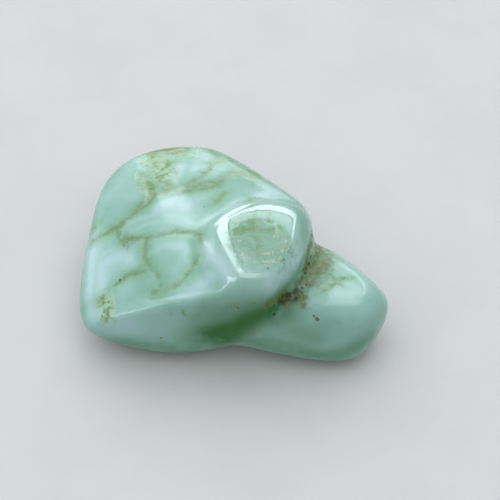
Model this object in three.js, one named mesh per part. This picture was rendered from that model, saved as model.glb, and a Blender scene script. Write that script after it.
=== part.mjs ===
// A tumbled pebble of chrysoprase, modelled as one solid.
// Millimetres, +Z up. The origin is under the middle of the stone's box, on the surface that it rests on.
// +X runs along the stone to its toe, and -Y is the side with the ridge and the crevice in it.
import * as THREE from "three";
import { mergeVertices } from "three/addons/utils/BufferGeometryUtils.js";

// Driving dimensions, in millimetres
const STONE_LENGTH = 37.7; // from the left wall to the end of the toe
const GRID = 28; // cells along each side of the cube that the mesh is drawn on

// Each group is a block of worn faces. A face points along its azimuth (0 is +X, 90 is +Y) and its elevation,
// in degrees, and lies reach millimetres from the group's middle. It bulges like a ball of the bulge radius,
// and wear rounds the edges between the faces.
const WALLS = {
  middle: [-4, 0, 6],
  wear: 0.5,
  faces: [
    { name: "front undercut", azimuth: 255, elevation: -39, reach: 12.2, bulge: 150 },
    { name: "notch undercut", azimuth: 288, elevation: -39, reach: 10.7, bulge: 60 },
    { name: "left", azimuth: 174, elevation: 5, reach: 14.5, bulge: 300 },
    { name: "left front", azimuth: 222, elevation: -8, reach: 17.2, bulge: 60 },
    { name: "left undercut", azimuth: 190, elevation: -45, reach: 12.9, bulge: 150 },
    { name: "left back", azimuth: 138, elevation: 8, reach: 17.9, bulge: 150 },
    { name: "left back shoulder", azimuth: 138, elevation: 29, reach: 17.4, bulge: 300 },
    { name: "left back undercut", azimuth: 140, elevation: -40, reach: 14, bulge: 60 },
    { name: "back", azimuth: 95, elevation: 5, reach: 16.5, bulge: 100 },
    { name: "back shoulder", azimuth: 95, elevation: 40, reach: 16.6, bulge: 100 },
    { name: "back undercut", azimuth: 95, elevation: -40, reach: 13, bulge: 60 },
    { name: "right back", azimuth: 48, elevation: 5, reach: 13.8, bulge: 150 },
    { name: "right back shoulder", azimuth: 48, elevation: 33, reach: 13.6, bulge: 200 },
    { name: "right back undercut", azimuth: 50, elevation: -35, reach: 12, bulge: 60 },
    { name: "right shoulder", azimuth: 5, elevation: 27, reach: 14.8, bulge: 80 },
    { name: "right", azimuth: 4, elevation: -5, reach: 13.6, bulge: 100 },
    { name: "right front", azimuth: 325, elevation: -8, reach: 12.6, bulge: 100 },
  ],
};
const BASE = {
  middle: [-1, -0.5, 6],
  wear: 1,
  faces: [{ name: "underside", azimuth: 0, elevation: -90, reach: 6.4, bulge: 70 }],
};
const SLOPE = {
  middle: [-4, 0, 6],
  wear: 1,
  faces: [
    { name: "broad top", azimuth: 190, elevation: 69, reach: 7, bulge: 120 },
    { name: "left shoulder", azimuth: 190, elevation: 45, reach: 12.6, bulge: 60 },
    { name: "back top", azimuth: 50, elevation: 77, reach: 8.4, bulge: 80 },
  ],
};
const SLOPE_FRONT = {
  middle: [-4, 0, 6],
  wear: 1,
  faces: [{ name: "front", azimuth: 267, elevation: 4, reach: 11.3, bulge: 120 }],
};
const DOME = {
  middle: [2.5, -4.3, 10],
  wear: 0.3,
  faces: [
    { name: "crown", azimuth: 140, elevation: 87, reach: 5.8, bulge: 18 },
    { name: "left rim", azimuth: 198, elevation: 42, reach: 6.9, bulge: 15 },
    { name: "left back rim", azimuth: 138, elevation: 42, reach: 7.6, bulge: 20 },
    { name: "back rim", azimuth: 85, elevation: 45, reach: 8.5, bulge: 20 },
    { name: "front", azimuth: 262, elevation: 8, reach: 7.1, bulge: 40 },
  ],
};
const TOE = {
  middle: [11, -5.8, 4.5],
  wear: 0.6,
  faces: [
    { name: "crown", azimuth: 130, elevation: 82, reach: 5.7, bulge: 15 },
    { name: "back slope", azimuth: 43, elevation: 30, reach: 6.2, bulge: 40 },
    { name: "back undercut", azimuth: 43, elevation: -30, reach: 6, bulge: 30 },
    { name: "right end", azimuth: 350, elevation: 0, reach: 8.7, bulge: 20 },
    { name: "right undercut", azimuth: 333, elevation: -21, reach: 7.5, bulge: 20 },
    { name: "right front", azimuth: 310, elevation: 10, reach: 7.4, bulge: 20 },
    { name: "front", azimuth: 266, elevation: 15, reach: 6.1, bulge: 40 },
    { name: "front undercut", azimuth: 260, elevation: -40, reach: 6.8, bulge: 150 },
    { name: "left", azimuth: 205, elevation: 0, reach: 13.4, bulge: 40 },
    { name: "underside", azimuth: 0, elevation: -90, reach: 4.3, bulge: 40 },
  ],
};
const RIDGE_WEAR = 0.25; // how softly the slope runs into its front wall
const WALL_WEAR = 0.5; // how softly the top runs into the walls
const DOME_BLEND = 0.25; // how softly the dome runs into the slope beside it
const TOE_BLEND = 0.3; // how softly the toe runs into the rest

const rad = THREE.MathUtils.degToRad;

function directionOf({ azimuth, elevation }) {
  const flat = Math.cos(rad(elevation));
  const rise = Math.sin(rad(elevation));
  return new THREE.Vector3(flat * Math.cos(rad(azimuth)), flat * Math.sin(rad(azimuth)), rise);
}

// A soft maximum: softness sets how far from an edge its rounding starts.
function softMax(values, softness) {
  const top = Math.max(...values);
  return top + softness * Math.log(values.reduce((sum, v) => sum + Math.exp((v - top) / softness), 0));
}

const softMin = (values, softness) => -softMax(values.map((v) => -v), softness);

// The distance field of one group of faces, negative inside
function groupField({ middle, wear, faces }) {
  const centre = new THREE.Vector3(...middle);
  const worn = faces.map((face) => ({ ...face, normal: directionOf(face) }));
  const offset = new THREE.Vector3();
  const heightOver = ({ normal, reach, bulge }) => {
    const out = offset.dot(normal);
    return out - reach + (offset.lengthSq() - out * out) / (2 * bulge);
  };
  return (point) => {
    offset.subVectors(point, centre);
    return softMax(worn.map(heightOver), wear);
  };
}

const wallsField = groupField(WALLS);
const baseField = groupField(BASE);
const slopeField = groupField(SLOPE);
const slopeFrontField = groupField(SLOPE_FRONT);
const domeField = groupField(DOME);
const toeField = groupField(TOE);

// The slope and the dome share the walls and the base, and the toe is joined on. The facet that the stone
// rests on is the flat at z = 0.
function stoneField(point) {
  const slope = softMax([slopeField(point), slopeFrontField(point)], RIDGE_WEAR);
  const top = softMin([slope, domeField(point)], DOME_BLEND);
  const body = softMax([wallsField(point), baseField(point), top], WALL_WEAR);
  const whole = softMin([body, toeField(point)], TOE_BLEND);
  return Math.max(whole, -point.z);
}

// The cage is an ellipsoid round the stone. Each of its points looks in at the spine, and the stone's
// surface is where that line of sight first meets the field's zero.
const CAGE = { middle: new THREE.Vector3(0, 0, 6.5), reach: new THREE.Vector3(25, 20, 13) };
const SPINE = { left: new THREE.Vector3(-9, 1, 5.5), right: new THREE.Vector3(10, -5, 4.5) };
const SIGHT_STEPS = 120;
const HALVINGS = 30;

function surfacePoint(direction) {
  const outer = direction.clone().multiply(CAGE.reach).add(CAGE.middle);
  const along = THREE.MathUtils.smoothstep(direction.x, -1, 1);
  const inner = SPINE.left.clone().lerp(SPINE.right, along);
  const at = (t) => outer.clone().lerp(inner, t);
  let near = 0;
  let far = 1;
  for (let step = 1; step <= SIGHT_STEPS; step++) {
    far = step / SIGHT_STEPS;
    if (stoneField(at(far)) < 0) break;
    near = far;
  }
  for (let halving = 0; halving < HALVINGS; halving++) {
    const mid = (near + far) / 2;
    if (stoneField(at(mid)) < 0) far = mid;
    else near = mid;
  }
  return at(far);
}

// Moves a point along the field's slope until it lies on the surface.
const NUDGE = 0.01;

function settle(point) {
  const ahead = new THREE.Vector3();
  const slope = new THREE.Vector3();
  for (let step = 0; step < 3; step++) {
    const here = stoneField(point);
    slope.set(
      stoneField(ahead.copy(point).setX(point.x + NUDGE)) - here,
      stoneField(ahead.copy(point).setY(point.y + NUDGE)) - here,
      stoneField(ahead.copy(point).setZ(point.z + NUDGE)) - here,
    );
    slope.divideScalar(NUDGE);
    point.addScaledVector(slope, -here / slope.lengthSq());
  }
  return point;
}

// Slides every point towards the middle of its neighbours and back to the surface, which evens the facets.
const EVENING_PASSES = 20;

function evenOut(points, index) {
  const neighbours = points.map(() => new Set());
  for (let i = 0; i < index.count; i += 3) {
    const [a, b, c] = [index.getX(i), index.getX(i + 1), index.getX(i + 2)];
    neighbours[a].add(b).add(c);
    neighbours[b].add(c).add(a);
    neighbours[c].add(a).add(b);
  }
  let evened = points;
  for (let pass = 0; pass < EVENING_PASSES; pass++) {
    const before = evened;
    evened = before.map((point, i) => {
      const middle = new THREE.Vector3();
      neighbours[i].forEach((j) => middle.add(before[j]));
      middle.divideScalar(neighbours[i].size);
      return settle(point.clone().lerp(middle, 0.6));
    });
  }
  return evened;
}

function stoneGeometry() {
  const cube = new THREE.BoxGeometry(2, 2, 2, GRID, GRID, GRID);
  cube.deleteAttribute("normal");
  cube.deleteAttribute("uv");
  const geometry = mergeVertices(cube, 1e-4);
  const position = geometry.getAttribute("position");
  const even = (v) => Math.tan((v * Math.PI) / 4);
  const points = Array.from({ length: position.count }, (_, i) => {
    const corner = new THREE.Vector3().fromBufferAttribute(position, i);
    corner.set(even(corner.x), even(corner.y), even(corner.z)).normalize();
    return surfacePoint(corner);
  });
  evenOut(points, geometry.index).forEach((point, i) => position.setXYZ(i, point.x, point.y, point.z));
  geometry.computeBoundingBox();
  const { min, max } = geometry.boundingBox;
  const toLength = STONE_LENGTH / (max.x - min.x);
  geometry.translate(-(min.x + max.x) / 2, -(min.y + max.y) / 2, -min.z);
  geometry.scale(toLength, toLength, toLength);
  geometry.computeVertexNormals();
  return geometry;
}

const stone = new THREE.Mesh(
  stoneGeometry(),
  new THREE.MeshStandardMaterial({ color: 0xb4d8cb, roughness: 0.18, metalness: 0 }),
);
stone.name = "stone";

const chrysoprase = new THREE.Group();
chrysoprase.add(stone);

export default chrysoprase;
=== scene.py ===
import math

import bmesh
import bpy
import numpy as np
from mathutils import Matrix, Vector, noise
from mathutils.bvhtree import BVHTree


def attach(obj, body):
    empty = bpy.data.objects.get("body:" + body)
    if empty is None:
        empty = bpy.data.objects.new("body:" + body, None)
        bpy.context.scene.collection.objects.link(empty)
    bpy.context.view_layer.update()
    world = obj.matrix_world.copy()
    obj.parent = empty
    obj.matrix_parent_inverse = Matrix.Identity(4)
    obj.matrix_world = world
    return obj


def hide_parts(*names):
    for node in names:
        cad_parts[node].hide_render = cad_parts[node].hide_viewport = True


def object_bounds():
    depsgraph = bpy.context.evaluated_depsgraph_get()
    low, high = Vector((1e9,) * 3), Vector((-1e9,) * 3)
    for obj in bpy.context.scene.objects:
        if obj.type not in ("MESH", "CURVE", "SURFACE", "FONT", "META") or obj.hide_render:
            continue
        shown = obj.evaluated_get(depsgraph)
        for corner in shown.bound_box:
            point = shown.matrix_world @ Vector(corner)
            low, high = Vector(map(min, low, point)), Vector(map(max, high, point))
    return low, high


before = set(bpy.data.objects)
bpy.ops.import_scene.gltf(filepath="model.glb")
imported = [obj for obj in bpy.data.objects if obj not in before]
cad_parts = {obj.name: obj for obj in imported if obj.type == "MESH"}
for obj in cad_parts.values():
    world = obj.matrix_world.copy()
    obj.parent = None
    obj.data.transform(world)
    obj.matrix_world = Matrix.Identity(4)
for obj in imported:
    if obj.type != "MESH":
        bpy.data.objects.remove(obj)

mm = 0.001
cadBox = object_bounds()
print("frame loaded")

# The camera stands where the photograph was taken from, and looks at a point low in the stone.
camera = {
    "target": (2.06, 0.845, 5.0),
    "distance": 230,
    "elevation": 50,
    "lens": 132.48,
    "sensor": 36,
    "picture": 500,  # pixels along each side
    "clip": (0.01, 20),  # metres
}


# Unit vector: azimuth 0 is +X and 90 is +Y, both angles in degrees
def direction(azimuth, elevation):
    az, el = math.radians(azimuth), math.radians(elevation)
    return Vector((math.cos(el) * math.cos(az), math.cos(el) * math.sin(az), math.sin(el)))


eyeBack = direction(-90, camera["elevation"])  # from the target to the camera, which faces +Y
eye = Vector(camera["target"]) + camera["distance"] * eyeBack
cameraData = bpy.data.cameras.new("camera")
cameraData.lens = camera["lens"]
cameraData.sensor_width = camera["sensor"]
cameraData.clip_start, cameraData.clip_end = camera["clip"]
cameraObject = bpy.data.objects.new("camera", cameraData)
cameraObject.location = eye * mm
cameraObject.rotation_mode = "QUATERNION"
cameraObject.rotation_quaternion = (-eyeBack).to_track_quat("-Z", "Y")
bpy.context.scene.collection.objects.link(cameraObject)
bpy.context.scene.camera = cameraObject
print("camera placed")


# A screen colour of 0 to 255 as the linear colour that a node takes
def linear(red, green, blue):
    toLinear = lambda c: c / 12.92 if c <= 0.04045 else ((c + 0.055) / 1.055) ** 2.4
    return (*(toLinear(c / 255) for c in (red, green, blue)), 1)


# Adds a node. inputs go by socket name or number: a socket is linked, and anything else is set.
def place(tree, kind, inputs, **settings):
    node = tree.nodes.new(kind)
    for name, value in settings.items():
        setattr(node, name, value)
    for key, value in inputs.items():
        if isinstance(value, bpy.types.NodeSocket):
            tree.links.new(value, node.inputs[key])
        else:
            node.inputs[key].default_value = value
    return node


def maths(tree, operation, a, b=0.0, clamp=False):
    settings = {"operation": operation, "use_clamp": clamp}
    return place(tree, "ShaderNodeMath", {0: a, 1: b}, **settings).outputs[0]


# A smooth step of value from low to high
def between(tree, value, low, high, lowTo=0.0, highTo=1.0):
    inputs = {"Value": value, "From Min": low, "From Max": high, "To Min": lowTo, "To Max": highTo}
    step = place(tree, "ShaderNodeMapRange", inputs, interpolation_type="SMOOTHSTEP")
    return step.outputs["Result"]


# The Mix node's sockets 6 and 7 are its two colours, and its output 2 is the mixed one.
def blendColour(tree, factor, a, b):
    return place(tree, "ShaderNodeMix", {0: factor, 6: a, 7: b}, data_type="RGBA").outputs[2]


def noiseLumps(tree, inputs):
    return place(tree, "ShaderNodeTexNoise", inputs).outputs["Fac"]


# Values that an effect has wherever it is used. Scales are in lumps to the metre.
noiseMiddle = 0.5
effects = {
    "mottleRoughness": 0.6,
    "speckScale": 3000.0,
    "speckEdge": (1.1, 0.6),  # where a speck starts and where it is full, in parts of its reach
    "threadDetail": 3.0,
    "threadWander": 0.6,
    "plainMottle": {"detail": 5.0, "low": 0.35, "high": 0.65},
}


def makeGroup(name, inputs):
    group = bpy.data.node_groups.new(name, "ShaderNodeTree")
    for socketName, kind in inputs.items():
        socketType = "NodeSocket" + kind
        group.interface.new_socket(name=socketName, in_out="INPUT", socket_type=socketType)
    group.interface.new_socket(name="Mask", in_out="OUTPUT", socket_type="NodeSocketFloat")
    given = group.nodes.new("NodeGroupInput").outputs
    made = group.nodes.new("NodeGroupOutput").inputs
    return group, given, made


# Mottling: noise cut to a mask between two of its levels
def makeMottle():
    inputs = {"Place": "Vector", "Scale": "Float", "Detail": "Float",
              "Low": "Float", "High": "Float"}
    group, given, made = makeGroup("mottle", inputs)
    lumps = noiseLumps(group, {"Vector": given["Place"], "Scale": given["Scale"],
                               "Detail": given["Detail"], "Roughness": effects["mottleRoughness"]})
    group.links.new(between(group, lumps, given["Low"], given["High"]), made["Mask"])
    return group


# A round spot with a ragged edge
def makeSpeck():
    inputs = {"Place": "Vector", "Centre": "Vector", "Reach": "Float"}
    group, given, made = makeGroup("speck", inputs)
    ends = {0: given["Place"], 1: given["Centre"]}
    away = place(group, "ShaderNodeVectorMath", ends, operation="DISTANCE").outputs["Value"]
    lumps = noiseLumps(group, {"Vector": given["Place"], "Scale": effects["speckScale"]})
    parts = maths(group, "DIVIDE", away, given["Reach"])
    ragged = maths(group, "MULTIPLY", parts, maths(group, "ADD", lumps, noiseMiddle))
    group.links.new(between(group, ragged, *effects["speckEdge"]), made["Mask"])
    return group


# Thin wandering lines, where noise passes its middle level
def makeThreads():
    inputs = {"Place": "Vector", "Scale": "Float", "Width": "Float"}
    group, given, made = makeGroup("threads", inputs)
    lumps = noiseLumps(group, {"Vector": given["Place"], "Scale": given["Scale"],
                               "Detail": effects["threadDetail"],
                               "Distortion": effects["threadWander"]})
    off = maths(group, "ABSOLUTE", maths(group, "SUBTRACT", lumps, noiseMiddle))
    widths = maths(group, "DIVIDE", off, given["Width"])
    group.links.new(between(group, widths, 1.0, 0.0), made["Mask"])
    return group


mottleGroup, speckGroup, threadsGroup = makeMottle(), makeSpeck(), makeThreads()


def useGroup(tree, group, inputs):
    return place(tree, "ShaderNodeGroup", inputs, node_tree=group).outputs["Mask"]


def mottle(tree, where, scale, detail, low, high):
    inputs = {"Place": where, "Scale": scale, "Detail": detail, "Low": low, "High": high}
    return useGroup(tree, mottleGroup, inputs)


def spot(tree, where, centre, reach):
    return useGroup(tree, speckGroup, {"Place": where, "Centre": centre, "Reach": reach})


def threads(tree, where, scale, width):
    return useGroup(tree, threadsGroup, {"Place": where, "Scale": scale, "Width": width})


# The window: panes of sky and the dark bars between them. across runs to the left as the camera
# sees it. A pane with a brightness of 1 looks plain white.
window = {
    "azimuth": 90,
    "elevation": 50,
    "distance": 600,
    "colour": (0.84, 0.92, 1.0),
    "panes": {
        "middlePane": {"across": (-339, 189), "up": (-52, 405), "brightness": 3.4},
        "lowMiddlePane": {"across": (-339, 189), "up": (-385, -52), "brightness": 1.3},
        "leftPane": {"across": (207, 390), "up": (-60, 428), "brightness": 5.4},
        "lowLeftPane": {"across": (207, 390), "up": (-405, -60), "brightness": 5.2},
        "farLeftPane": {"across": (408, 490), "up": (0, 620), "brightness": 1.5},
        "rightPane": {"across": (-440, -357), "up": (-405, 428), "brightness": 3.6},
        "topPane": {"across": (-700, 390), "up": (428, 640), "brightness": 3.2},
        "farTopPane": {"across": (-700, 490), "up": (664, 860), "brightness": 3.5},
        "lowPane": {"across": (-440, 390), "up": (-600, -405), "brightness": 3.4},
    },
    "bars": {
        "leftBar": {"across": (189, 207), "up": (-405, 428)},
        "rightBar": {"across": (-357, -339), "up": (-405, 428)},
        "topBar": {"across": (-357, 207), "up": (405, 428)},
        "lowBar": {"across": (-357, 207), "up": (-405, -385)},
        "farLeftBar": {"across": (390, 408), "up": (-405, 664)},
        "farTopBar": {"across": (-700, 408), "up": (640, 664)},
        "farLowBar": {"across": (-440, 390), "up": (-510, -496)},
    },
    "barGap": 4,  # how far the bars stand in front of the panes
    "barFinish": {"colour": (60, 62, 64), "second": (70, 72, 74), "scale": 20.0, "roughness": 0.8},
}
# Openings to the side. One draws the ridge's white line, the low one the streak at the left edge.
openings = {
    "sidePane": {"azimuth": 200, "elevation": 28, "distance": 600,
                 "width": 110, "height": 420, "brightness": 3.6},
    "lowSidePane": {"azimuth": 152, "elevation": 14, "distance": 700,
                    "width": 300, "height": 260, "brightness": 1.8},
}
# The room: an even light, and a soft glow round the window that fades over a wide angle
room = {
    "even": 0.88,
    "glow": 0.95,
    "glowAzimuth": 110,
    "glowElevation": 48,
    "glowInner": 20,
    "glowOuter": 80,
    "colour": (0.9, 0.95, 1.0),
}


# Hangs a flat thing that faces the stone from that direction, out of the camera's sight.
def hang(thing, towards, distance, across, up):
    sideways = Vector((0, 0, 1)).cross(towards).normalized()
    upward = towards.cross(sideways)
    middle = Vector(camera["target"]) + distance * towards
    middle = middle + sum(across) / 2 * sideways + sum(up) / 2 * upward
    thing.location = middle * mm
    thing.rotation_mode = "QUATERNION"
    thing.rotation_quaternion = (-towards).to_track_quat("-Z", "Y")
    thing.visible_camera = False
    bpy.context.scene.collection.objects.link(thing)


def flatSheet(name, width, height, material):
    x, y = width * mm / 2, height * mm / 2
    mesh = bpy.data.meshes.new(name)
    mesh.from_pydata([(-x, -y, 0), (x, -y, 0), (x, y, 0), (-x, y, 0)], [], [(0, 1, 2, 3)])
    mesh.materials.append(material)
    return bpy.data.objects.new(name, mesh)


def addPane(name, towards, distance, across, up, brightness):
    width, height = across[1] - across[0], up[1] - up[0]
    light = bpy.data.lights.new(name, "AREA")
    light.shape = "RECTANGLE"
    light.size, light.size_y = width * mm, height * mm
    light.energy = brightness * math.pi * width * height * mm * mm
    light.color = window["colour"]
    pane = bpy.data.objects.new(name, light)
    pane.visible_diffuse = False  # the room lights the stone, and panes only shine in its polish
    hang(pane, towards, distance, across, up)


def addBar(name, towards, distance, across, up, material):
    bar = flatSheet(name, across[1] - across[0], up[1] - up[0], material)
    hang(bar, towards, distance, across, up)


# A matt material that mottles between two close colours
def plainMaterial(name, colour, second, scale, roughness):
    material = bpy.data.materials.new(name)
    material.use_nodes = True
    tree = material.node_tree
    shader = tree.nodes["Principled BSDF"]
    where = tree.nodes.new("ShaderNodeTexCoord").outputs["Object"]
    mask = mottle(tree, where, scale, **effects["plainMottle"])
    mixed = blendColour(tree, mask, linear(*colour), linear(*second))
    tree.links.new(mixed, shader.inputs["Base Color"])
    shader.inputs["Roughness"].default_value = roughness
    return material


def addWindow():
    towards, distance = direction(window["azimuth"], window["elevation"]), window["distance"]
    for name, pane in window["panes"].items():
        addPane(name, towards, distance, **pane)
    material = plainMaterial("darkBar", **window["barFinish"])
    for name, bar in window["bars"].items():
        addBar(name, towards, distance - window["barGap"], **bar, material=material)
    for name, opening in openings.items():
        towards = direction(opening["azimuth"], opening["elevation"])
        across, up = opening["width"] / 2, opening["height"] / 2
        brightness = opening["brightness"]
        addPane(name, towards, opening["distance"], (-across, across), (-up, up), brightness)


def addRoom():
    world = bpy.data.worlds.new("room")
    world.use_nodes = True
    tree = world.node_tree
    where = tree.nodes.new("ShaderNodeTexCoord").outputs["Generated"]
    lobe = direction(room["glowAzimuth"], room["glowElevation"])
    ways = {0: where, 1: lobe}
    along = place(tree, "ShaderNodeVectorMath", ways, operation="DOT_PRODUCT").outputs["Value"]
    outer, inner = (math.cos(math.radians(room[key])) for key in ("glowOuter", "glowInner"))
    strength = between(tree, along, outer, inner, room["even"], room["even"] + room["glow"])
    background = tree.nodes["Background"]
    background.inputs["Color"].default_value = (*room["colour"], 1)
    tree.links.new(strength, background.inputs["Strength"])
    bpy.context.scene.world = world


addWindow()
addRoom()
bpy.context.scene.view_settings.view_transform = "Standard"
print("window and room light placed")


# The floor is a plain pale plane.
floor = {
    "side": 6000,
    "finish": {"colour": (190, 187, 184), "second": (186, 183, 180),
               "scale": 60.0, "roughness": 0.7},
}


def addFloor():
    material = plainMaterial("paleFloor", **floor["finish"])
    piece = flatSheet("floor", floor["side"], floor["side"], material)
    bpy.context.scene.collection.objects.link(piece)


addFloor()
print("floor laid")

# The stone's fine mesh: the CAD solid's own facets as quads, subdivided smoothly
stone = {
    "weld": 0.001,
    "quadFaceAngle": 60,  # two facets join into a quad within these angles, in degrees
    "quadShapeAngle": 70,
    "subdivisions": 2,
    "middle": (0, 0, 6),  # bearings are taken from here
    "clear": 60,  # a distance from the middle that is outside the stone
}


def fineStone():
    shape = bmesh.new()
    shape.from_mesh(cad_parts["stone"].data)
    bmesh.ops.remove_doubles(shape, verts=shape.verts, dist=stone["weld"] * mm)
    bmesh.ops.join_triangles(
        shape,
        faces=shape.faces,
        angle_face_threshold=math.radians(stone["quadFaceAngle"]),
        angle_shape_threshold=math.radians(stone["quadShapeAngle"]),
    )
    mesh = bpy.data.meshes.new("stoneCage")
    corners = [v.co[:] for v in shape.verts]
    mesh.from_pydata(corners, [], [[v.index for v in f.verts] for f in shape.faces])
    shape.free()
    cage = bpy.data.objects.new("stoneCage", mesh)
    bpy.context.scene.collection.objects.link(cage)
    smoother = cage.modifiers.new("smoother", "SUBSURF")
    smoother.levels = stone["subdivisions"]
    smoothed = cage.evaluated_get(bpy.context.evaluated_depsgraph_get())
    fine = bpy.data.meshes.new_from_object(smoothed)
    bpy.data.objects.remove(cage)
    return fine


stoneMesh = fineStone()
count = len(stoneMesh.vertices)
points = np.empty(count * 3)
stoneMesh.vertices.foreach_get("co", points)
points = points.reshape(-1, 3) / mm
edges = np.empty(len(stoneMesh.edges) * 2, int)
stoneMesh.edges.foreach_get("vertices", edges)
edges = edges.reshape(-1, 2)
print("fine mesh:", count, "points,", len(stoneMesh.polygons), "faces")


# Moves the mesh to the points, and gives the way that it faces at each
def moveMesh():
    stoneMesh.vertices.foreach_set("co", (points * mm).ravel())
    stoneMesh.update()
    normals = np.empty(count * 3, np.float32)
    stoneMesh.vertex_normals.foreach_get("vector", normals)
    return normals.reshape(-1, 3).astype(float)


# The middle of each point's neighbours
def neighboursMiddle():
    total = np.zeros_like(points)
    np.add.at(total, edges[:, 0], points[edges[:, 1]])
    np.add.at(total, edges[:, 1], points[edges[:, 0]])
    return total / np.bincount(edges.ravel(), minlength=count)[:, None]


faces = [tuple(f.vertices) for f in stoneMesh.polygons]
surface = BVHTree.FromPolygons([Vector(p) for p in points], faces)


# The point of the stone that shows at pixel (u, v) of the photograph, or None beside the stone
def seenAt(u, v):
    focal = camera["lens"] / camera["sensor"] * camera["picture"]
    half = camera["picture"] / 2
    sideways = Vector((1, 0, 0))
    upward = sideways.cross(-eyeBack)
    ray = -eyeBack * focal + sideways * (u - half) + upward * (half - v)
    return surface.ray_cast(eye, ray.normalized())[0]


# The point of the stone that lies that way from its middle
def facingAt(azimuth, elevation):
    bearing = direction(azimuth, elevation)
    outside = Vector(stone["middle"]) + stone["clear"] * bearing
    return surface.ray_cast(outside, -bearing)[0]


# A Catmull-Rom line through two-number knots
def smoothLine(knots, spans=4):
    knots = [np.array(k, float) for k in knots]
    if len(knots) < 3:
        return knots
    padded = [2 * knots[0] - knots[1], *knots, 2 * knots[-1] - knots[-2]]
    line = []
    for before, start, end, after in zip(padded, padded[1:], padded[2:], padded[3:]):
        bend = 2 * before - 5 * start + 4 * end - after
        twist = 3 * start - 3 * end + after - before
        for t in np.arange(spans) / spans:
            line.append(0.5 * (2 * start + (end - before) * t + bend * t * t + twist * t ** 3))
    return [*line, knots[-1]]


# The route's knots as points on the stone. Pixels are of the photograph, and bearings are an
# azimuth and an elevation from the stone's middle.
def onStone(route):
    if "pixels" in route:
        found = [seenAt(*k) for k in smoothLine(route["pixels"])]
    else:
        found = [facingAt(*k) for k in smoothLine(route["bearings"])]
    return np.array([f for f in found if f is not None])


# How far each point of the mesh is from the line
def reachTo(line):
    nearest = np.linalg.norm(points - line[0], axis=1)
    for start, end in zip(line[:-1], line[1:]):
        along = end - start
        lengthSquared = along @ along
        if lengthSquared < 1e-8:  # both ends on one spot
            continue
        t = np.clip((points - start) @ along / lengthSquared, 0, 1)
        nearest = np.minimum(nearest, np.linalg.norm(points - start - t[:, None] * along, axis=1))
    return nearest


def smoothStep(value, low, high):
    t = np.clip((value - low) / (high - low), 0, 1)
    return t * t * (3 - 2 * t)


# 1 on the line, falling away softly over the spread
def bell(reach, spread):
    return np.exp(-(reach / spread) ** 2)


# Smooth noise of about -1 to 1, with lumps of 1 / scale millimetres
def noiseAt(scale, seed):
    shift = Vector([seed * step for step in relief["seedSteps"]])
    return np.array([noise.noise(Vector(p) * scale + shift) for p in points])


# How strongly soft patches cover each point
def patched(patches):
    cover = np.zeros(count)
    for patch in patches.values():
        softly = bell(reachTo(onStone(patch)), patch["spread"])
        cover = np.maximum(cover, patch["strength"] * softly)
    return np.minimum(cover, 1)


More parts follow.
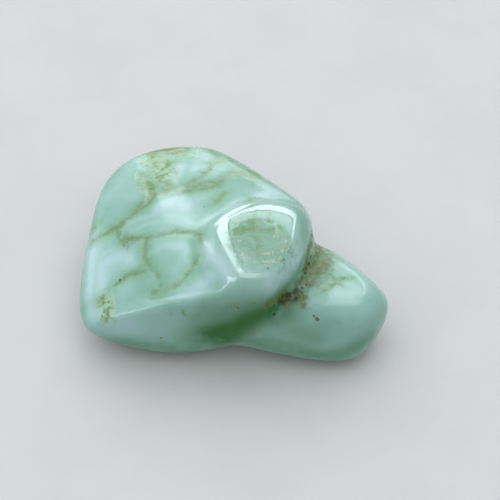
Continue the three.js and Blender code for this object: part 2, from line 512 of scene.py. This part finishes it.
# Natural veins: thin stained cracks with a shallow groove along each
veins = {
    "main": {"pixels": [(95, 239), (117, 227), (133, 214), (148, 203), (154, 195), (169, 191),
                        (179, 187), (196, 180), (217, 162)], "width": 0.55, "depth": 0.04},
    "mainBranch": {"pixels": [(179, 187), (192, 191), (217, 185), (226, 174), (238, 173),
                              (257, 178)], "width": 0.5, "depth": 0.02},
    "middle": {"pixels": [(117, 227), (120, 240), (127, 239), (139, 238), (154, 237), (169, 233),
                          (188, 233), (200, 235)], "width": 0.45, "depth": 0.04},
    "hanging": {"pixels": [(146, 239), (145, 256), (149, 267), (141, 273), (129, 275), (120, 282),
                           (115, 286)], "width": 0.5, "depth": 0.03},
    "right": {"pixels": [(200, 239), (198, 256), (190, 271), (182, 282), (165, 290), (154, 292)],
              "width": 0.5, "depth": 0.02},
    "lower": {"pixels": [(149, 267), (158, 276), (160, 286)], "width": 0.4, "depth": 0.02},
    "mossLeg": {"pixels": [(146, 180), (150, 192), (148, 203)], "width": 0.5, "depth": 0.03},
    "mossArm": {"pixels": [(139, 175), (150, 178), (163, 182), (176, 188)],
                "width": 0.45, "depth": 0.03},
    "domeTop": {"pixels": [(249, 197), (252, 206), (255, 214), (253, 222)],
                "width": 0.4, "depth": 0.03},
    "domeStroke": {"pixels": [(270, 212), (268, 222)], "width": 0.3, "depth": 0.02},
    "domeAcross": {"pixels": [(238, 232), (250, 229), (262, 231), (280, 228)],
                   "width": 0.4, "depth": 0.02},
    "shoulder": {"pixels": [(224, 193), (215, 204)], "width": 0.5, "depth": 0.02},
    "topEdge": {"pixels": [(150, 152), (160, 150), (172, 149), (184, 152)],
                "width": 0.7, "depth": 0.03},
    "toeBack": {"pixels": [(312, 262), (322, 256), (332, 262)], "width": 0.4, "depth": 0.02},
    "toeCross": {"pixels": [(306, 276), (318, 270), (324, 262), (320, 252)],
                 "width": 0.4, "depth": 0.02},
    "toeHighlight": {"pixels": [(322, 292), (332, 285), (342, 279), (352, 278)],
                     "width": 0.35, "depth": 0.03},
    "toeSpur": {"pixels": [(330, 274), (338, 282), (346, 288)], "width": 0.3, "depth": 0.02},
    "wallMark": {"pixels": [(170, 310), (171, 315)], "width": 0.12, "depth": 0.0},
    "wallMarkRight": {"pixels": [(182, 310), (185, 316)], "width": 0.12, "depth": 0.0},
    "upperLoop": {"pixels": [(192, 191), (200, 183), (214, 182), (219, 187)],
                  "width": 0.45, "depth": 0.02},
    "leftWall": {"bearings": [(173, 6), (167, -8), (170, -22), (156, -38)],
                 "width": 0.5, "depth": 0.03},
    "overBack": {"bearings": [(98, 27), (105, 12), (97, -6), (110, -24), (118, -42)],
                 "width": 0.5, "depth": 0.03},
    "rightBack": {"bearings": [(72, 32), (64, 16), (72, 0), (62, -18), (70, -36)],
                  "width": 0.5, "depth": 0.03},
    "acrossBack": {"bearings": [(66, 12), (82, 4), (100, 4), (118, -8), (138, -2), (156, -12),
                                (169, -12)], "width": 0.45, "depth": 0.03},
    "backSpur": {"bearings": [(138, -2), (132, 14), (140, 26)], "width": 0.4, "depth": 0.02},
    "belly": {"bearings": [(110, -24), (150, -50), (205, -66), (250, -58), (280, -40)],
              "width": 0.5, "depth": 0.03},
    "toeEnd": {"bearings": [(22, 14), (10, 2), (4, -12), (-14, -20), (-24, -34)],
               "width": 0.4, "depth": 0.02},
}
# Soft patches, each a route with a spread. A strength over 1 widens the part that is fully covered.
# The first are olive stains.
stains = {
    "domeMiddle": {"pixels": [(246, 232), (262, 242), (272, 248)], "spread": 2.5, "strength": 1.8},
    "aroundMain": {"pixels": [(140, 208), (154, 193), (170, 191), (190, 188), (214, 184)],
                   "spread": 1.0, "strength": 1.0},
    "mossFoot": {"pixels": [(142, 180), (152, 188)], "spread": 0.8, "strength": 0.9},
    "mossTop": {"pixels": [(150, 166), (164, 160), (170, 168)], "spread": 1.0, "strength": 0.4},
    "topEdge": {"pixels": [(160, 150), (184, 151)], "spread": 0.9, "strength": 0.7},
    "upperRight": {"pixels": [(220, 182), (230, 174), (246, 176)], "spread": 0.8, "strength": 0.5},
    "aroundHanging": {"pixels": [(146, 240), (147, 262), (135, 272)],
                      "spread": 0.9, "strength": 0.4},
    "belowMain": {"pixels": [(120, 232), (127, 243)], "spread": 0.8, "strength": 0.8},
    "toeBack": {"pixels": [(316, 242), (322, 256), (316, 276)], "spread": 1.8, "strength": 0.9},
    "underEdge": {"bearings": [(60, -20), (85, -25), (110, -18)], "spread": 2.2, "strength": 0.8},
    "backPatch": {"bearings": [(75, 30), (95, 22)], "spread": 2.0, "strength": 0.8},
    "bellyPatch": {"bearings": [(200, -60), (240, -70)], "spread": 2.6, "strength": 0.8},
}
# Chalky patches, pitted and scribbled over with moss
creams = {
    "moss": {"pixels": [(152, 160), (162, 164), (164, 174)], "spread": 1.5, "strength": 1.2},
    "mossFoot": {"pixels": [(143, 180), (149, 188)], "spread": 0.9, "strength": 0.9},
    "leftSpot": {"pixels": [(104, 300), (107, 314)], "spread": 1.0, "strength": 1.2},
    "backPatch": {"bearings": [(118, 20), (126, 8)], "spread": 1.8, "strength": 1.0},
}
# Dirt: a thin wash, and where it is dark
dirts = {
    "crevice": {"pixels": [(313, 238), (309, 252), (305, 266), (299, 279), (291, 290), (280, 298),
                           (268, 304)], "spread": 0.8, "strength": 0.85},
    "foot": {"pixels": [(280, 297), (289, 299), (297, 295)], "spread": 1.1, "strength": 1.0},
    "smear": {"pixels": [(300, 294), (304, 304)], "spread": 0.9, "strength": 0.75},
    "toeBack": {"pixels": [(316, 246), (322, 262), (314, 282)], "spread": 1.7, "strength": 0.75},
    "lip": {"pixels": [(316, 248), (311, 262), (306, 274), (302, 288)],
            "spread": 1.3, "strength": 0.6},
    "aboveValley": {"pixels": [(228, 307), (245, 305), (262, 305)],
                    "spread": 0.8, "strength": 0.45},
    "creviceBack": {"bearings": [(-14, 16), (-4, 8), (4, 1), (8, -6), (8, -18)],
                    "spread": 0.7, "strength": 0.75},
}
darks = {
    "foot": {"pixels": [(281, 299), (289, 298), (297, 293)], "spread": 0.9, "strength": 1.3},
    "crevice": {"pixels": [(312, 252), (308, 263), (303, 274), (299, 284)],
                "spread": 0.45, "strength": 0.8},
    "creviceBack": {"bearings": [(0, 5), (6, -2)], "spread": 0.5, "strength": 0.7},
}
# Paler bands inside the stone. The arcs on the main face are also painted pale sheen lines beside
# the pillows
bandsAndSheenLines = {
    "pillowArc": {"pixels": [(128, 224), (142, 218), (160, 215), (178, 217), (192, 223)],
                  "spread": 0.35, "strength": 0.8},
    "pillowArcLow": {"pixels": [(138, 228), (154, 223), (172, 222), (188, 227)],
                     "spread": 0.3, "strength": 0.6},
    "middleArc": {"pixels": [(152, 252), (166, 246), (182, 246), (193, 252)],
                  "spread": 0.4, "strength": 0.6},
    "leftArc": {"pixels": [(92, 268), (101, 256), (114, 249), (126, 247)],
                "spread": 0.5, "strength": 0.7},
    "leftArcLow": {"pixels": [(94, 290), (102, 276), (116, 268)], "spread": 0.4, "strength": 0.5},
    "shoulderStroke": {"pixels": [(112, 192), (122, 182)], "spread": 0.25, "strength": 0.6},
    "upperArc": {"pixels": [(190, 166), (206, 160), (222, 166)], "spread": 0.5, "strength": 0.6},
    "toeMark": {"pixels": [(256, 330), (262, 341), (272, 346)], "spread": 0.4, "strength": 0.5},
}
browns = {
    "mainStart": {"pixels": [(114, 229), (119, 226)], "spread": 0.7, "strength": 0.6},
    "mainBelow": {"pixels": [(126, 244), (130, 242)], "spread": 0.7, "strength": 0.9},
    "topEdge": {"pixels": [(158, 150), (182, 149)], "spread": 1.1, "strength": 1.3},
    "domeSpots": {"pixels": [(244, 258), (246, 257)], "spread": 0.5, "strength": 0.8},
    "smear": {"pixels": [(303, 296), (305, 303)], "spread": 0.8, "strength": 0.8},
}
# Where the stone is a deeper green. This is partly its own translucent green and partly painted
# shade: the front valley, the lower front walls, the toe's front, the dome's right flank and the
# face above the ridge
deepGreenAndShade = {
    "valley": {"pixels": [(274, 309), (256, 317), (240, 326), (226, 338)],
               "spread": 3.0, "strength": 1.0},
    "valleyRim": {"pixels": [(268, 306), (244, 312), (222, 320), (204, 336)],
                  "spread": 2.8, "strength": 0.6},
    "valleyLeft": {"pixels": [(230, 328), (212, 334)], "spread": 2.6, "strength": 1.0},
    "valleyFootShade": {"pixels": [(238, 340), (270, 345), (300, 350)], "spread": 1.8, "strength": 0.5},
    "toeFrontShade": {"pixels": [(285, 328), (312, 338)], "spread": 2.2, "strength": 0.35},
    "toeFootShade": {"pixels": [(310, 354), (334, 356), (352, 350), (368, 340)],
                "spread": 1.6, "strength": 0.5},
    "frontFootShade": {"pixels": [(110, 341), (150, 346), (182, 350), (206, 344)],
                  "spread": 1.4, "strength": 0.4},
    "frontRightShade": {"pixels": [(196, 322), (208, 312)], "spread": 1.6, "strength": 0.35},
    "domeRight": {"pixels": [(300, 210), (305, 235)], "spread": 1.3, "strength": 0.3},
    "faceLowShade": {"pixels": [(118, 305), (150, 290), (190, 284)], "spread": 1.2, "strength": 0.12},
}
# Where the stone is milky, together with painted sheen and highlights: the pillows, the left edge
# and its streak, the groove and the dome's back. The dome's front, the front wall and the toe are
# lightened partly as milky stone and partly as painted reflection
milkAndSheen = {
    "domeFront": {"pixels": [(272, 284), (285, 276), (297, 260)], "spread": 1.4, "strength": 1.1},
    "groove": {"pixels": [(206, 246), (218, 262), (229, 278)], "spread": 1.1, "strength": 0.8},
    "domeBackSheen": {"pixels": [(226, 210), (246, 200), (272, 194)], "spread": 1.6, "strength": 0.6},
    "frontWall": {"pixels": [(96, 322), (128, 326)], "spread": 1.8, "strength": 0.8},
    "toe": {"pixels": [(350, 300), (372, 305)], "spread": 2.4, "strength": 0.4},
    "pillowHighlight": {"pixels": [(160, 208), (172, 202), (186, 205)], "spread": 1.1, "strength": 1.2},
    "upperPillowHighlight": {"pixels": [(198, 170), (216, 170)], "spread": 1.1, "strength": 1.5},
    "mossPillowHighlight": {"pixels": [(174, 176), (180, 169)], "spread": 0.9, "strength": 1.4},
    "topPillowHighlight": {"pixels": [(144, 160), (150, 163)], "spread": 0.8, "strength": 0.9},
    "leftPillowHighlight": {"pixels": [(108, 262), (122, 256), (132, 262)], "spread": 1.2, "strength": 0.8},
    "leftSheenStreak": {"pixels": [(102, 266), (102, 286)], "spread": 1.2, "strength": 0.9},
    "lowPillowHighlight": {"pixels": [(182, 292), (200, 286), (212, 276)], "spread": 1.1, "strength": 0.8},
    "leftEdgeSheen": {"pixels": [(93, 240), (90, 265), (88, 292)], "spread": 1.2, "strength": 1.0},
}
# Where the polish is a mirror, and where it is worn dull. Elsewhere it is a soft sheen.
mirrors = {
    "dome": {"pixels": [(258, 224), (258, 254)], "spread": 2.6, "strength": 25.0},
    "toe": {"pixels": [(334, 284), (354, 290)], "spread": 2.8, "strength": 0.4},
    "ridge": {"pixels": [(110, 319), (129, 314), (148, 306), (167, 300), (188, 298), (207, 296),
                         (222, 290), (232, 285)], "spread": 0.6, "strength": 0.8},
    "groove": {"pixels": [(204, 240), (213, 251), (222, 262), (227, 271)],
               "spread": 0.35, "strength": 1.0},
}
dulls = {
    "dome": {"pixels": [(261, 238), (265, 249)], "spread": 2.9, "strength": 2.5},
    "moss": {"pixels": [(150, 158), (160, 168), (165, 180), (150, 185)],
             "spread": 1.6, "strength": 1.0},
    "slopeBack": {"pixels": [(222, 184), (244, 188), (212, 204)], "spread": 2.2, "strength": 0.9},
    "toeBack": {"pixels": [(316, 252), (322, 262), (316, 278)], "spread": 2.0, "strength": 1.2},
    "toeLeft": {"pixels": [(304, 284), (316, 296)], "spread": 1.5, "strength": 1.4},
    "toeHighlight": {"pixels": [(322, 292), (332, 284), (342, 278)],
                     "spread": 0.7, "strength": 1.0},
    "leftSpot": {"pixels": [(104, 302), (107, 316)], "spread": 1.0, "strength": 1.0},
}
# Where bits of the dull parts are still polished
glints = {
    "domeRight": {"pixels": [(274, 230), (283, 244), (276, 260)], "spread": 1.7, "strength": 2.0},
    "domeLeft": {"pixels": [(236, 240), (250, 262)], "spread": 1.0, "strength": 0.9},
    "toe": {"pixels": [(322, 286), (334, 276)], "spread": 1.0, "strength": 1.0},
}
# The crevice between the dome's wall and the toe. It is smoothed before its groove is cut.
crevice = {
    "pixels": [(312, 235), (308, 250), (303, 262), (298, 275), (291, 285), (282, 294), (270, 302)],
    "width": 0.5,
    "depth": 0.14,
    "smoothed": (0.4, 2.2),  # fully within the first distance, and not beyond the second
    "passes": 12,
    "pull": 0.5,  # part of the way to the neighbours' middle in each pass
}
# The channel between the slope and the dome's rim, and the line above the ridge
grooves = {
    "channel": {"pixels": [(231, 281), (229, 272), (223, 262), (216, 252), (209, 241), (211, 232),
                           (219, 223), (231, 214), (245, 207), (256, 203), (270, 199), (283, 197)],
                "width": 0.4, "depth": 0.06},
    "overRidge": {"pixels": [(150, 300), (180, 294), (209, 288), (226, 280)],
                  "width": 0.35, "depth": 0.04},
}
# Low swellings, which catch the window
swells = {
    "underMain": {"pixels": [(162, 207), (186, 203)], "spread": 1.4, "height": 0.08},
    "upper": {"pixels": [(198, 172), (220, 170)], "spread": 1.2, "height": 0.06},
    "moss": {"pixels": [(172, 175), (182, 168)], "spread": 0.8, "height": 0.05},
    "middle": {"pixels": [(150, 222), (190, 222)], "spread": 1.3, "height": 0.05},
    "lower": {"pixels": [(160, 260), (180, 262)], "spread": 2.0, "height": 0.06},
    "left": {"pixels": [(105, 262), (112, 285)], "spread": 1.5, "height": 0.05},
    "ridgeLip": {"pixels": [(112, 319), (129, 315), (148, 308), (167, 302), (188, 299), (207, 297),
                            (222, 291)], "spread": 0.3, "height": 0.035},
    "grooveLip": {"pixels": [(204, 241), (213, 251), (221, 261), (226, 270), (229, 282)],
                  "spread": 0.3, "height": 0.05},
}
relief = {
    "broadHeight": 0.05,
    "broadScale": 0.22,
    "fineHeight": 0.01,
    "fineScale": 0.9,
    "mirrorLoses": 0.8,  # part of the broad relief that a mirror does without
    "wander": 0.12,  # how far a vein's edges waver
    "wanderScale": 1.3,
    "seedSteps": (7.3, 3.1, 5.7),  # each seed moves the noise on by this
    "veinless": 9.0,  # in vein widths, far from any vein
    "foot": 0.6,  # the relief grows to its full height over this much above the floor
    "unseen": (-0.3, 0.1),  # from facing the camera to facing away, as a cosine
}

creviceReach = reachTo(onStone(crevice))
nearCrevice = 1 - smoothStep(creviceReach, *crevice["smoothed"])
for _ in range(crevice["passes"]):
    points = points + crevice["pull"] * nearCrevice[:, None] * (neighboursMiddle() - points)
facing = moveMesh()
print("crevice smoothed")

mirror = patched(mirrors)
broad = relief["broadHeight"] * noiseAt(relief["broadScale"], seed=2)
lift = broad * (1 - relief["mirrorLoses"] * mirror)
lift += relief["fineHeight"] * noiseAt(relief["fineScale"], seed=3) * (1 - mirror)
wander = relief["wander"] * noiseAt(relief["wanderScale"], seed=1)
veinReach = np.full(count, relief["veinless"])
for vein in veins.values():
    reach = reachTo(onStone(vein)) + wander
    veinReach = np.minimum(veinReach, reach / vein["width"])
    lift -= vein["depth"] * bell(reach, vein["width"])
for swell in swells.values():
    lift += swell["height"] * bell(reachTo(onStone(swell)), swell["spread"])
for groove in grooves.values():
    lift -= groove["depth"] * bell(reachTo(onStone(groove)), groove["width"])
lift -= crevice["depth"] * bell(creviceReach, crevice["width"])
unseen = smoothStep(-(facing @ np.array(eyeBack)), *relief["unseen"])
print("relief drawn")


def keep(name, values):
    kept = stoneMesh.attributes.new(name, "FLOAT", "POINT")
    kept.data.foreach_set("value", values.astype(np.float32))


keep("veinReach", veinReach)
keep("mirror", mirror)
keep("unseen", unseen)
patchSets = {"stain": stains, "cream": creams, "dirt": dirts, "dark": darks, "bandAndSheenLine": bandsAndSheenLines,
             "brown": browns, "deepAndShade": deepGreenAndShade, "milkyAndSheen": milkAndSheen, "dull": dulls, "glint": glints}
for name, patches in patchSets.items():
    keep(name, patched(patches))

# Nothing sinks into the facet that the stone rests on, and nothing stands proud of the CAD box.
lift *= smoothStep(points[:, 2], 0.0, relief["foot"])
low, high = (np.array(corner) / mm for corner in cadBox)
points = np.clip(points + lift[:, None] * facing, low, high)
moveMesh()
print("patches painted")


# Chrysoprase, polished. Colours are screen colours of 0 to 255.
chrysoprase = {
    "colours": {
        "body": (118, 163, 145),
        "milk": (140, 180, 168),
        # pale milky colour, also used for painted sheen and highlights
        "cloudySheen": (168, 196, 198),
        # deep green, also used for painted shade
        "deepAndShade": (18, 94, 16),
        "leaf": (104, 157, 112),
        "olive": (80, 117, 54),
        "vein": (86, 119, 54),
        "ochre": (122, 122, 30),
        "rust": (106, 98, 0),
        "mud": (80, 92, 0),
        "brown": (90, 90, 0),
        "cream": (160, 184, 134),
        "dirt": (40, 52, 0),
    },
    "roughness": 0.24,
    "mirrorRoughness": 0.07,
    "wornRoughness": 0.4,  # added where the polish is worn off
    "sheenCoat": 0.2,
    "mirrorCoat": 1.0,
    "coatRoughness": 0.04,
    "ior": 1.54,
    "underSheen": 0.3,  # how much of its shine the stone keeps under the polish, where 0.5 is all
    "glow": 0.7,
    "glowRadius": [0.6, 1.0, 0.8],
    "glowScale": 1.1,
    "bump": 0.15,
    "bumpDistance": 0.4,
    "polishGrain": 0.02,  # how much of the bump the polish keeps
    "veinLeast": 0.5,  # how much of a vein shows in its palest stretches
}
# Mottlings: lumps to the metre, how fine they are, and the noise levels that the mask runs between
mottles = {
    "body": {"scale": 120.0, "detail": 7.0, "low": 0.36, "high": 0.66},
    "cloudySheen": {"scale": 300.0, "detail": 3.0, "low": 0.1, "high": 0.5},
    "deepAndShade": {"scale": 240.0, "detail": 3.0, "low": 0.1, "high": 0.5},
    "ragged": {"scale": 1300.0, "detail": 5.0, "low": 0.25, "high": 0.75},
    "patchy": {"scale": 420.0, "detail": 3.0, "low": 0.3, "high": 0.6},
    "grains": {"scale": 1900.0, "detail": 3.0, "low": 0.5, "high": 0.6},
    "chalk": {"scale": 500.0, "detail": 4.0, "low": 0.3, "high": 0.55},
    "mossBreaks": {"scale": 900.0, "detail": 3.0, "low": 0.4, "high": 0.55},
    "mossDots": {"scale": 1300.0, "detail": 4.0, "low": 0.56, "high": 0.66},
    "stain": {"scale": 1300.0, "detail": 7.0, "low": 0.38, "high": 0.62},
    "brown": {"scale": 1100.0, "detail": 4.0, "low": 0.4, "high": 0.6},
    "dirt": {"scale": 800.0, "detail": 4.0, "low": 0.25, "high": 0.55},
    "dark": {"scale": 1500.0, "detail": 5.0, "low": 0.38, "high": 0.55},
    "rust": {"scale": 1200.0, "detail": 4.0, "low": 0.5, "high": 0.62},
    "glint": {"scale": 1300.0, "detail": 4.0, "low": 0.5, "high": 0.6},
    "grain": {"scale": 2500.0, "detail": 4.0, "low": 0.2, "high": 0.8},
}
# Threads: fine veins on the sides away from the camera, and moss
threadings = {"hidden": {"scale": 90.0, "width": 0.12}, "moss": {"scale": 330.0, "width": 0.11}}
# How strongly each layer covers what is under it
covers = {
    "bandAndSheenLine": 0.6,  # of how a milky part covers
    "cloudySheen": 0.8,
    "hidden": 0.35,
    "chalk": 0.6,
    "moss": 0.95,
    "stainWash": 0.25,
    "stain": 0.9,
    "brown": 0.7,
    "dirt": 0.85,
    "dark": 0.9,
    "speck": 0.9,
    "chalkWorn": 0.7,  # how far chalk takes the polish off
}
# Ragged edges: mottling is added to what was painted, and the mask rises to most from start to full.
frays = {
    "leaf": {"name": "veinReach", "ragged": 1.2, "start": 4.2, "full": 1.0, "most": 0.6},
    "core": {"name": "veinReach", "ragged": 1.2, "start": 1.7, "full": 0.4, "most": 0.6},
    "dirt": {"name": "dirt", "ragged": 0.5, "start": 0.5, "full": 1.1, "most": 1.0},
    "dark": {"name": "dark", "ragged": 0.3, "start": 0.55, "full": 1.1, "most": 1.0},
    "dull": {"name": "dull", "ragged": 0.35, "start": 0.5, "full": 0.85, "most": 1.0},
}
# Single specks, by pixel of the photograph
specks = {
    "black": {"pixel": (274, 314), "reach": 0.28, "colour": (4, 6, 0)},
    "orange": {"pixel": (317, 319), "reach": 0.32, "colour": (98, 78, 0)},
    "orangeTail": {"pixel": (314, 316), "reach": 0.2, "colour": (104, 98, 0)},
    "dash": {"pixel": (238, 308), "reach": 0.2, "colour": (84, 92, 0)},
    "faint": {"pixel": (161, 338), "reach": 0.18, "colour": (104, 124, 30)},
    "leftDot": {"pixel": (120, 280), "reach": 0.2, "colour": (10, 22, 0)},
    "topDot": {"pixel": (284, 204), "reach": 0.12, "colour": (70, 84, 60)},
    "slopeDot": {"pixel": (204, 207), "reach": 0.12, "colour": (64, 92, 44)},
    "creviceDark": {"pixel": (309, 264), "reach": 0.24, "colour": (20, 16, 0)},
    "creviceDarker": {"pixel": (305, 273), "reach": 0.22, "colour": (16, 12, 0)},
    "creviceLow": {"pixel": (302, 288), "reach": 0.22, "colour": (24, 18, 0)},
    "creviceRight": {"pixel": (306, 285), "reach": 0.16, "colour": (34, 28, 0)},
    "creviceOchre": {"pixel": (313, 265), "reach": 0.3, "colour": (120, 108, 0)},
    "footOchre": {"pixel": (288, 305), "reach": 0.3, "colour": (112, 104, 0)},
    "lipOchre": {"pixel": (304, 302), "reach": 0.26, "colour": (108, 112, 10)},
    "discBrown": {"pixel": (268, 268), "reach": 0.2, "colour": (90, 108, 40)},
}


def paintedValue(tree, name):
    return place(tree, "ShaderNodeAttribute", {}, attribute_name=name).outputs["Fac"]


def stoneMaterial():
    material = bpy.data.materials.new("polishedChrysoprase")
    material.use_nodes = True
    tree = material.node_tree
    shader = tree.nodes["Principled BSDF"]
    where = tree.nodes.new("ShaderNodeTexCoord").outputs["Object"]
    tint = {name: linear(*screen) for name, screen in chrysoprase["colours"].items()}
    both = lambda a, b: maths(tree, "MULTIPLY", a, b, clamp=True)
    either = lambda a, b: maths(tree, "MAXIMUM", a, b)
    without = lambda mask: maths(tree, "SUBTRACT", 1.0, mask)
    painted = lambda name: paintedValue(tree, name)
    lumpy = lambda name: mottle(tree, where, **mottles[name])
    over = lambda under, mask, name: blendColour(tree, mask, under, tint[name])
    ragged = lumpy("ragged")

    def frayed(edge):
        torn = maths(tree, "MULTIPLY", ragged, edge["ragged"])
        value = maths(tree, "ADD", painted(edge["name"]), torn)
        return between(tree, value, edge["start"], edge["full"], 0.0, edge["most"])

    # The body, with its milky parts and painted sheen and highlights, and its deep green parts and
    # painted shade
    colour = blendColour(tree, lumpy("body"), tint["body"], tint["milk"])
    # milky patches and bands take the pale cloudy colour, which is painted sheen and highlight on
    # the pillows and edges
    cloudySheen = both(either(painted("milkyAndSheen"), both(painted("bandAndSheenLine"), covers["bandAndSheenLine"])), lumpy("cloudySheen"))
    colour = over(colour, both(cloudySheen, covers["cloudySheen"]), "cloudySheen")
    # deep green, partly the stone's own and partly painted shade in the valley and along the lower
    # walls
    colour = over(colour, both(painted("deepAndShade"), lumpy("deepAndShade")), "deepAndShade")

    # Veins: a leafy margin, a core, and grains of ochre in the core
    patchy = between(tree, lumpy("patchy"), 0, 1, chrysoprase["veinLeast"], 1.0)
    leafy, core = both(frayed(frays["leaf"]), patchy), both(frayed(frays["core"]), patchy)
    hidden = both(painted("unseen"), covers["hidden"])
    hidden = both(threads(tree, where, **threadings["hidden"]), hidden)
    leafy = either(leafy, both(hidden, patchy))
    colour = over(over(colour, leafy, "leaf"), core, "vein")
    colour = over(colour, both(core, lumpy("grains")), "ochre")

    # Chalk with moss over it, olive stains and brown ones
    chalky = both(painted("cream"), lumpy("chalk"))
    colour = over(colour, both(chalky, covers["chalk"]), "cream")
    mossy = both(threads(tree, where, **threadings["moss"]), lumpy("mossBreaks"))
    mossy = both(either(mossy, lumpy("mossDots")), painted("cream"))
    colour = over(colour, both(mossy, covers["moss"]), "vein")
    stain = painted("stain")
    stained = both(both(stain, lumpy("stain")), covers["stain"])
    colour = over(colour, either(both(stain, covers["stainWash"]), stained), "olive")
    browned = both(painted("brown"), lumpy("brown"))
    colour = over(colour, both(browned, covers["brown"]), "brown")

    # Dirt: a wash of mud and rust, and dark lumps on it
    dirty = both(frayed(frays["dirt"]), lumpy("dirt"))
    darkened = both(frayed(frays["dark"]), lumpy("dark"))
    dirtTint = blendColour(tree, lumpy("rust"), tint["mud"], tint["rust"])
    colour = blendColour(tree, both(dirty, covers["dirt"]), colour, dirtTint)
    colour = over(colour, both(darkened, covers["dark"]), "dirt")

    for speck in specks.values():
        mask = spot(tree, where, seenAt(*speck["pixel"]) * mm, speck["reach"] * mm)
        colour = blendColour(tree, both(mask, covers["speck"]), colour, linear(*speck["colour"]))
    tree.links.new(colour, shader.inputs["Base Color"])

    # The polish is worn off where the stone is dull, chalky or dirty.
    shiny = both(painted("glint"), lumpy("glint"))
    worn = both(frayed(frays["dull"]), without(shiny))
    worn = either(either(worn, both(chalky, covers["chalkWorn"])), either(dirty, darkened))
    mirrored = both(painted("mirror"), without(worn))
    polish = between(tree, mirrored, 0, 1, chrysoprase["roughness"], chrysoprase["mirrorRoughness"])
    roughness = maths(tree, "ADD", polish, both(worn, chrysoprase["wornRoughness"]))
    coat = between(tree, mirrored, 0, 1, chrysoprase["sheenCoat"], chrysoprase["mirrorCoat"])
    tree.links.new(roughness, shader.inputs["Roughness"])
    tree.links.new(coat, shader.inputs["Coat Weight"])

    lumps = maths(tree, "SUBTRACT", lumpy("grain"), noiseMiddle)
    grain = maths(tree, "MULTIPLY", lumps, maths(tree, "ADD", worn, chrysoprase["polishGrain"]))
    distance = chrysoprase["bumpDistance"] * mm
    bumps = {"Height": grain, "Strength": chrysoprase["bump"], "Distance": distance}
    bump = place(tree, "ShaderNodeBump", bumps)
    tree.links.new(bump.outputs["Normal"], shader.inputs["Normal"])
    shader.inputs["IOR"].default_value = chrysoprase["ior"]
    shader.inputs["Specular IOR Level"].default_value = chrysoprase["underSheen"]
    shader.inputs["Coat Roughness"].default_value = chrysoprase["coatRoughness"]
    shader.inputs["Subsurface Weight"].default_value = chrysoprase["glow"]
    shader.inputs["Subsurface Radius"].default_value = chrysoprase["glowRadius"]
    shader.inputs["Subsurface Scale"].default_value = chrysoprase["glowScale"] * mm
    return material


stoneMesh.materials.append(stoneMaterial())
stoneMesh.polygons.foreach_set("use_smooth", np.ones(len(stoneMesh.polygons), bool))
pebble = bpy.data.objects.new("chrysoprasePebble", stoneMesh)
bpy.context.scene.collection.objects.link(pebble)
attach(pebble, "root")
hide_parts("stone")
print("stone finished")
